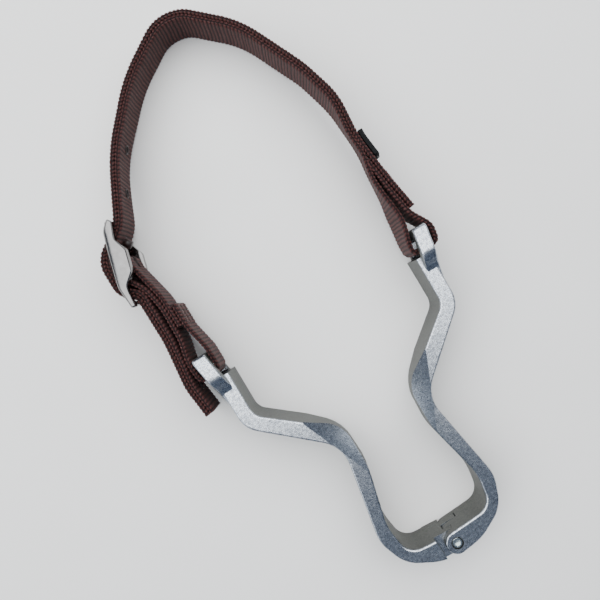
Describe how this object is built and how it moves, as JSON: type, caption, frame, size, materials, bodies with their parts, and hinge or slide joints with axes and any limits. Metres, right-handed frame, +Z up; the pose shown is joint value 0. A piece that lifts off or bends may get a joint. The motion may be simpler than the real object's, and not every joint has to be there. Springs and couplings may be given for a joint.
{
  "type": "bitless hackamore",
  "caption": "Hinged cast-aluminium nose and jaw arms of a bitless bridle, joined through end eyes by a buckled webbing chin strap; opens at the nose hinge.",
  "frame": {"origin": "nose hinge axis at the surface that the hackamore lies on", "axes": "+Y from the hinge towards the strap, +X towards the arm that carries the hinge screw, +Z up along the hinge axis"},
  "size_m": [0.1643, 0.3337, 0.0368],
  "materials": {
    "cast_aluminium": "satin, tumbled",
    "fastener_steel": "bright",
    "buckle_steel": "polished",
    "brown_webbing": "woven nylon",
    "brown_thread": "twisted nylon",
    "black_label": "woven tape, blank"
  },
  "bodies": {
    "left_side": {"left_arm": "cast_aluminium", "strap_outer_ply": "brown_webbing", "strap_inner_ply": "brown_webbing", "chape_strap": "brown_webbing", "label_tab": "black_label", "loop_thread": "brown_thread", "chape_thread": "brown_thread"},
    "right_side": {"right_arm": "cast_aluminium", "hinge_sleeve": "fastener_steel", "hinge_screw": "fastener_steel"},
    "buckle": {"buckle_frame": "buckle_steel"},
    "tongue": {"buckle_tongue": "buckle_steel"}
  },
  "joints": [
    {"name": "nose_hinge", "type": "hinge", "parent": "left_side", "child": "right_side", "pos_m": [0, 0, 0], "axis": [0, 0, 1], "range_deg": [-12, 3], "deforming": ["strap_outer_ply", "strap_inner_ply", "label_tab", "loop_thread"]},
    {"name": "buckle_rock", "type": "hinge", "parent": "left_side", "child": "buckle", "pos_m": [-0.0773, 0.2225, 0.0183], "axis": [0, 0, 1], "range_deg": [-0.8, 0.8]},
    {"name": "tongue_swing", "type": "hinge", "parent": "buckle", "child": "tongue", "pos_m": [-0.0773, 0.2225, 0.0183], "axis": [0, 0, 1], "range_deg": [0, 2.5]}
  ]
}
